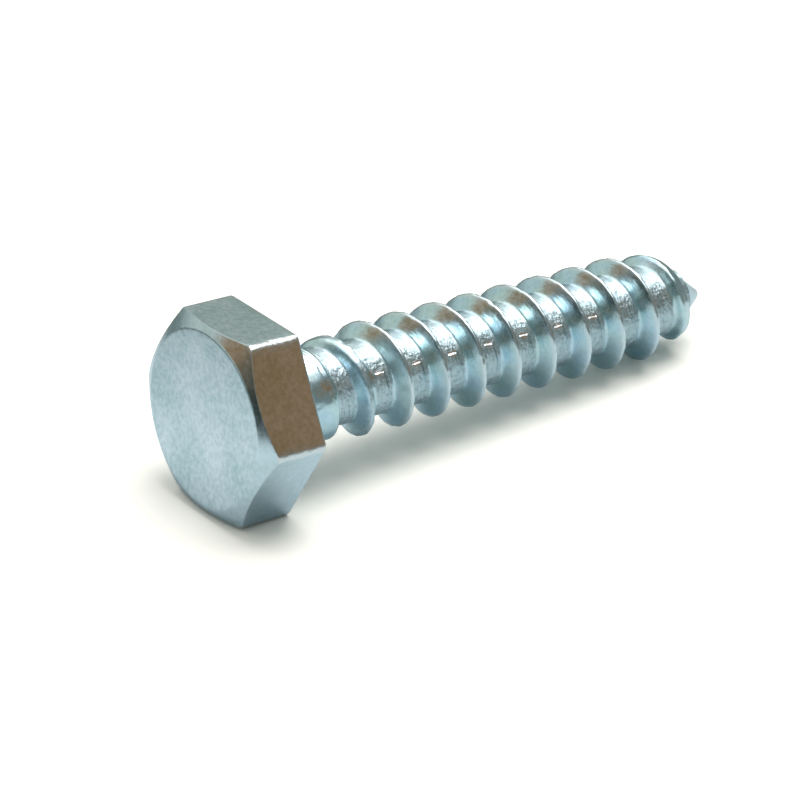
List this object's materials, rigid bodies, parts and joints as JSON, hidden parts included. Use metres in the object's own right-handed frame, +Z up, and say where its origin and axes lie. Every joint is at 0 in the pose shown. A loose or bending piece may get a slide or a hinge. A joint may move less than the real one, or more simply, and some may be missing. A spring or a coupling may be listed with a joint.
{
  "type": "lag screw",
  "caption": "Hex-head lag screw with a coarse right-hand wood thread, a short plain neck and a stub point, lying at rest. Zinc-plated steel.",
  "frame": {"origin": "on the surface that the screw lies on, below the middle of its length", "axes": "+X along the screw from head to point, with the screw's own axis tilted down by 4.8 degrees as it rests; +Z up"},
  "size_m": [0.0356, 0.0124, 0.0111],
  "materials": {
    "zinc_plated_steel": "bright zinc plate with a faint blue chromate tint over forged and rolled steel"
  },
  "bodies": {
    "root": {"lag_screw": "zinc_plated_steel"}
  },
  "joints": []
}
